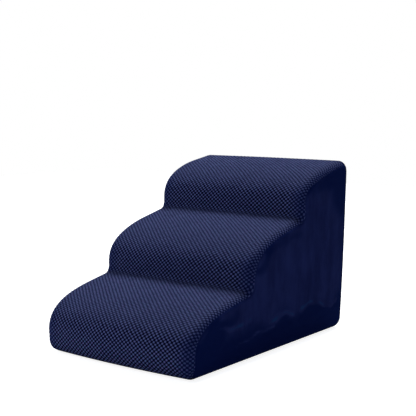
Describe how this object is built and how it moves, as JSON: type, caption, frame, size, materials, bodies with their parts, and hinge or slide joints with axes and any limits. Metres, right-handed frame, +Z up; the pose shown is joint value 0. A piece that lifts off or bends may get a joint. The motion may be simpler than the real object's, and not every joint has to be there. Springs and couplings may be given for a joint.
{
  "type": "pet stairs",
  "caption": "Foam pet stairs with rounded, wave-like steps, in a dotted and velvet cover that zips off, on a grip base.",
  "frame": {"origin": "middle of the base, on the floor", "axes": "+X to the right as seen from the front, +Y from the first step to the back, +Z up"},
  "size_m": [0.4, 0.6062, 0.397],
  "materials": {
    "foam": "matte",
    "liner_cloth": "matte",
    "dotted_jacquard": "matte",
    "velvet": "matte",
    "base_cloth": "matte",
    "grip_rubber": "satin",
    "zipper_tape": "matte",
    "zipper_teeth": "satin",
    "zipper_metal": "satin"
  },
  "bodies": {
    "stairs": {"foam_core": "foam", "liner_wrap": "liner_cloth", "liner_side_left": "liner_cloth", "liner_side_right": "liner_cloth", "tread_panel": "dotted_jacquard", "side_panel_left": "velvet", "side_panel_right": "velvet", "back_panel_upper": "velvet", "back_panel_lower": "velvet", "base_panel": "base_cloth", "grip_dots": "grip_rubber", "zipper_end_tab_left": "velvet", "zipper_end_tab_right": "velvet", "zipper_tape_upper": "zipper_tape", "zipper_tape_lower": "zipper_tape", "zipper_teeth_upper": "zipper_teeth", "zipper_teeth_lower": "zipper_teeth", "zipper_bottom_stop": "zipper_metal", "zipper_top_stops": "zipper_metal"},
    "slider": {"zipper_slider": "zipper_metal"},
    "pull_tab": {"zipper_pull_tab": "zipper_metal"}
  },
  "joints": [
    {"name": "zipper_slide", "type": "slide", "parent": "stairs", "child": "slider", "axis": [-1, 0, 0], "range_m": [0, 0.301], "deforming": ["zipper_teeth_upper", "zipper_teeth_lower"]},
    {"name": "pull_tab_swing", "type": "hinge", "parent": "slider", "child": "pull_tab", "pos_m": [0.153, 0.301, 0.073], "axis": [0, 0, -1], "range_deg": [0, 180]}
  ]
}
